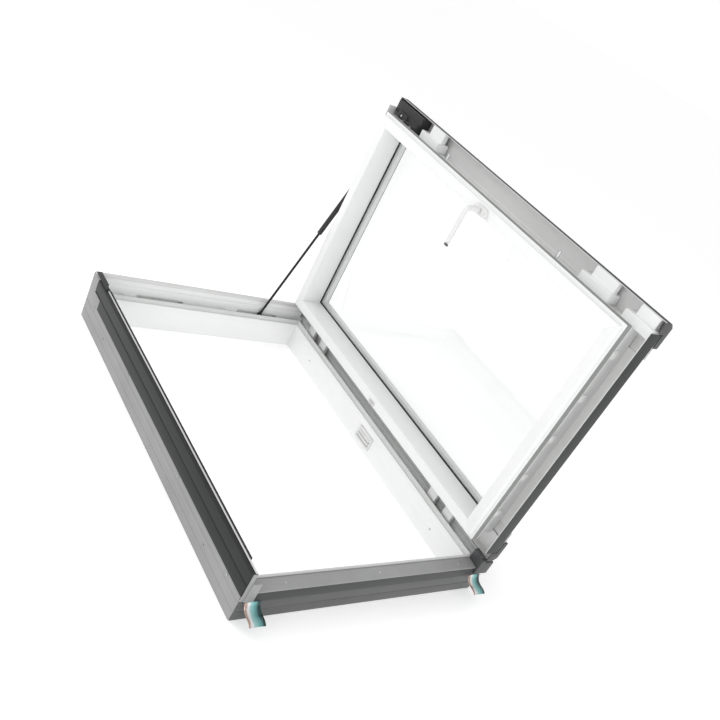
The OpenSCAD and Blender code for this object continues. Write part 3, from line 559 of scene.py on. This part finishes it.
def bent_strap(name, x_low, x_high, y_root, z_root, out_reach, drop):
    """A thin strap: flat at the root, then out and down in an S, with its free end curling under."""
    along, across = 28, 10
    bm = bmesh.new()
    layer = bm.loops.layers.uv.new("across")
    grid = []
    for i in range(along + 1):
        k = i/along
        y = y_root - out_reach*k**1.1 + 0.003*math.sin(2*math.pi*k)
        z = z_root - drop*k - 0.008*math.sin(math.pi*k) - 0.003*math.sin(2*math.pi*k)
        row = []
        for j in range(across + 1):
            u = j/across
            x = x_low + (x_high - x_low)*u + 0.0015*math.sin(math.pi*k)
            crown = 0.0016*(1 - (2*u - 1)**2)
            row.append((bm.verts.new((x, y, z + crown)), (u, k)))
        grid.append(row)
    for i in range(along):
        for j in range(across):
            corners = (grid[i][j], grid[i][j + 1], grid[i + 1][j + 1], grid[i + 1][j])
            face = bm.faces.new([corner[0] for corner in corners])
            face.smooth = True
            for loop, corner in zip(face.loops, corners):
                loop[layer].uv = corner[1]
    mesh = bpy.data.meshes.new(name)
    bm.to_mesh(mesh)
    bm.free()
    strap = bpy.data.objects.new(name, mesh)
    bpy.context.collection.objects.link(strap)
    thick = strap.modifiers.new("thick", "SOLIDIFY")
    thick.thickness = 0.0012
    thick.offset = -1
    smooth = strap.modifiers.new("smooth", "SUBSURF")
    smooth.levels = 1
    smooth.render_levels = 1
    mesh.materials.append(strap_skin)
    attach(strap, "frame")
    return strap


strap_low, strap_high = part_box("hanging_straps")
strap_width = 0.044
strap_drop = 0.027
strap_spare = 0.002
strap_root_y = strap_high[1] - 0.0042
strap_root_z = strap_high[2] - strap_spare
strap_reach = strap_root_y - strap_low[1] - strap_spare
left_strap = bent_strap("strap_lock_side", strap_low[0], strap_low[0] + strap_width,
                        strap_root_y, strap_root_z, strap_reach, strap_drop)
bent_strap("strap_hinge_side", strap_high[0] - strap_width, strap_high[0],
           strap_root_y, strap_root_z, strap_reach, strap_drop)
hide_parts("hanging_straps")

# ---- Hinges ----
# Ribbed metal leaves on the sash, turned on steel pins that stand in the two knuckles of each frame
# leaf. Near-black bands painted between the ribs stand for the slots there: painted shade. Each frame
# leaf is held by two cross-head screws.
leaf_metal_with_painted_slot_shade = finish_material("leaf_metal_with_painted_slot_shade", (0.72, 0.725, 0.72), (0.60, 0.605, 0.60), 0.38, 0.08,
                               900, 0.00004, metallic=0.5, line_depth=0.8)
rib_tree = leaf_metal_with_painted_slot_shade.node_tree
# Near-black bands along the leaf's Y, where the slots lie between the ribs: painted shade.
rib_place = rib_tree.nodes.new("ShaderNodeTexCoord")
rib_parts = rib_tree.nodes.new("ShaderNodeSeparateXYZ")
rib_wave = rib_tree.nodes.new("ShaderNodeMath")
rib_wave.operation = "PINGPONG"
rib_wave.inputs[1].default_value = 0.0045
slot_shade_mask = rib_tree.nodes.new("ShaderNodeMapRange")
slot_shade_mask.inputs["From Min"].default_value = 0.0014
slot_shade_mask.inputs["From Max"].default_value = 0.0020
slot_shade_mix = rib_tree.nodes.new("ShaderNodeMix")
slot_shade_mix.data_type = "RGBA"
slot_shade_mix.inputs["A"].default_value = (0.06, 0.06, 0.062, 1)
rib_shader = rib_tree.nodes["Principled BSDF"]
rib_tree.links.new(rib_place.outputs["Object"], rib_parts.inputs["Vector"])
rib_tree.links.new(rib_parts.outputs["Y"], rib_wave.inputs[0])
rib_tree.links.new(rib_wave.outputs[0], slot_shade_mask.inputs["Value"])
rib_tree.links.new(slot_shade_mask.outputs["Result"], slot_shade_mix.inputs["Factor"])
rib_tree.links.new(rib_shader.inputs["Base Color"].links[0].from_socket, slot_shade_mix.inputs["B"])
rib_tree.links.new(slot_shade_mix.outputs["Result"], rib_shader.inputs["Base Color"])
rounded("hinge_sash_leaf_upper", leaf_metal_with_painted_slot_shade, 0.0010)
rounded("hinge_sash_leaf_lower", leaf_metal_with_painted_slot_shade, 0.0010)
leaf_t = 0.003
leaf_screw_in = 0.016
large_head_r = 0.0042
for leaf in ("hinge_frame_leaf_upper", "hinge_frame_leaf_lower"):
    leaf_low, leaf_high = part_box(leaf)
    for number, share in enumerate((0.06, 0.94)):
        screw_y = leaf_low[1] + share*(leaf_high[1] - leaf_low[1])
        cross_screw(f"{leaf}_screw_{number}",
                    (leaf_high[0] - leaf_screw_in, screw_y, leaf_low[2] + leaf_t),
                    (0, 0, 1), large_head_r, "frame")

# ---- Clips, plugs and the sash's catch ----
# White moulded clips carry the free side's cover. Domed round plugs close the screw holes along the
# sash's lower edge, and a grey catch plate meets the catch on the frame.
rounded("cover_clips", white_plastic, 0.0018)
grey_plastic = finish_material("grey_plastic", (0.66, 0.66, 0.65), (0.60, 0.60, 0.59), 0.42, 0.06,
                               1500, 0.00008)
rounded("centre_catch_sash", grey_plastic, 0.0006)


def domed_plug(name, place, out, radius, height):
    """A round plug with a rim, a shallow groove inside it and a low dome."""
    turns = 40
    outline = ((1.0, 0.0), (1.0, 0.55), (0.94, 0.80), (0.84, 0.86), (0.78, 0.66), (0.70, 0.66),
               (0.60, 0.84), (0.30, 0.97), (0.02, 1.0))
    bm = bmesh.new()
    rows = []
    for share, rise in outline:
        rows.append([bm.verts.new((radius*share*math.cos(2*math.pi*k/turns),
                                   radius*share*math.sin(2*math.pi*k/turns), height*rise))
                     for k in range(turns)])
    for low, high in zip(rows, rows[1:]):
        for k in range(turns):
            bm.faces.new((low[k], low[(k + 1) % turns], high[(k + 1) % turns], high[k])).smooth = True
    bm.faces.new(rows[-1]).smooth = True
    bm.faces.new(list(reversed(rows[0])))
    mesh = bpy.data.meshes.new(name)
    bm.to_mesh(mesh)
    bm.free()
    turn = Vector(out).to_track_quat("Z", "Y").to_matrix().to_4x4()
    mesh.transform(Matrix.Translation(Vector(place)) @ turn)
    mesh.materials.append(plug_white)
    plug = bpy.data.objects.new(name, mesh)
    bpy.context.collection.objects.link(plug)
    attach(plug, "sash")
    return plug


plug_low, plug_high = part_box("bottom_plugs")
plug_r = (plug_high[0] - plug_low[0])/2
plug_step = (plug_high[2] - plug_low[2] - 2*plug_r)/4
plug_white = finish_material("plug_white", (0.92, 0.92, 0.915), (0.88, 0.88, 0.875), 0.30, 0.05,
                             1500, 0.00003, coat=0.3)
for number in range(5):
    plug = domed_plug(f"plug_{number}", ((plug_low[0] + plug_high[0])/2, plug_high[1],
                                         plug_low[2] + plug_r + number*plug_step),
                      (0, -1, 0), plug_r, plug_high[1] - plug_low[1])
    if number == 0:
        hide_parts("bottom_plugs")

# ---- Handle ----
# A white die-cast lever on an oval base. The spindle's round neck rises from the base and turns into
# the arm in one smooth bend, and the arm widens a little towards the dark ring at its tip.
lever_white = finish_material("lever_white", (0.80, 0.80, 0.795), (0.74, 0.74, 0.735), 0.30, 0.05,
                              1500, 0.00003, coat=0.3)
rounded("handle_base", lever_white, 0.0014)
base_low, base_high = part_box("handle_base")
tip_low, tip_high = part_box("lever_tip")
spindle_z = (base_low[2] + base_high[2])/2
lever_y = (base_low[1] + base_high[1])/2
arm_x = (tip_low[0] + tip_high[0])/2
arm_end_z = tip_high[2] + 0.0005
neck_start_x = base_low[0] + 0.002
bend_r = 0.017


def lever_stations():
    """Places along the lever, each with its direction and its half sizes across and in the bend."""
    stations = []
    for k in range(4):
        x = neck_start_x + (arm_x + bend_r - neck_start_x)*k/3
        stations.append((Vector((x, lever_y, spindle_z)), Vector((-1, 0, 0)), 0.0070, 0.0070))
    for k in range(1, 8):
        a = math.pi/2*k/8
        place = Vector((arm_x + bend_r*(1 - math.sin(a)), lever_y, spindle_z - bend_r*(1 - math.cos(a))))
        stations.append((place, Vector((-math.cos(a), 0, -math.sin(a))), 0.0072, 0.0066 - 0.0008*k/8))
    for k in range(8):
        z = spindle_z - bend_r + (arm_end_z - spindle_z + bend_r)*k/7
        half_wide = 0.0073 + 0.0004*k/7
        half_thick = 0.0056 - 0.0008*k/7
        stations.append((Vector((arm_x, lever_y, z)), Vector((0, 0, -1)), half_wide, half_thick))
    return stations


lever_bm = bmesh.new()
lever_rows = []
for place, along, half_wide, half_thick in lever_stations():
    side = Vector((0, 1, 0))
    up = along.cross(side)
    row = []
    for k in range(20):
        a = 2*math.pi*k/20
        c, s = math.cos(a), math.sin(a)
        row.append(lever_bm.verts.new(place + side*half_wide*math.copysign(abs(c)**0.8, c)
                                      + up*half_thick*math.copysign(abs(s)**0.8, s)))
    lever_rows.append(row)
for low, high in zip(lever_rows, lever_rows[1:]):
    for k in range(20):
        lever_bm.faces.new((low[k], low[(k + 1) % 20], high[(k + 1) % 20], high[k])).smooth = True
lever_bm.faces.new(list(reversed(lever_rows[0])))
lever_bm.faces.new(lever_rows[-1])
bmesh.ops.recalc_face_normals(lever_bm, faces=lever_bm.faces)
lever_mesh = bpy.data.meshes.new("lever_arm")
lever_bm.to_mesh(lever_mesh)
lever_bm.free()
lever_mesh.materials.append(lever_white)
lever = bpy.data.objects.new("lever_arm", lever_mesh)
bpy.context.collection.objects.link(lever)
lever_smooth = lever.modifiers.new("smooth", "SUBSURF")
lever_smooth.levels = 1
lever_smooth.render_levels = 1
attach(lever, "handle")
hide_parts("handle_lever")
ring_plastic = finish_material("ring_plastic", (0.11, 0.11, 0.115), (0.08, 0.08, 0.085), 0.25, 0.05,
                               1500, 0.00004, coat=0.4)
rounded("lever_tip", ring_plastic, 0.0012)

# ---- Gas strut ----
# A black painted steel barrel and a black nitrided rod, with a moulded eye at each end, a crimped
# neck where the rod enters, and a bright ring at the barrel's mouth.
strut_black = finish_material("strut_black", (0.020, 0.020, 0.022), (0.014, 0.014, 0.015), 0.28, 0.06,
                              1200, 0.00003, metallic=0.5, coat=0.4)
rod_black = finish_material("rod_black", (0.030, 0.030, 0.032), (0.022, 0.022, 0.024), 0.2, 0.04,
                            600, 0.00002, metallic=0.8)
rounded("strut_barrel", strut_black, 0.0010)
rounded("strut_rod", rod_black, 0.0006)
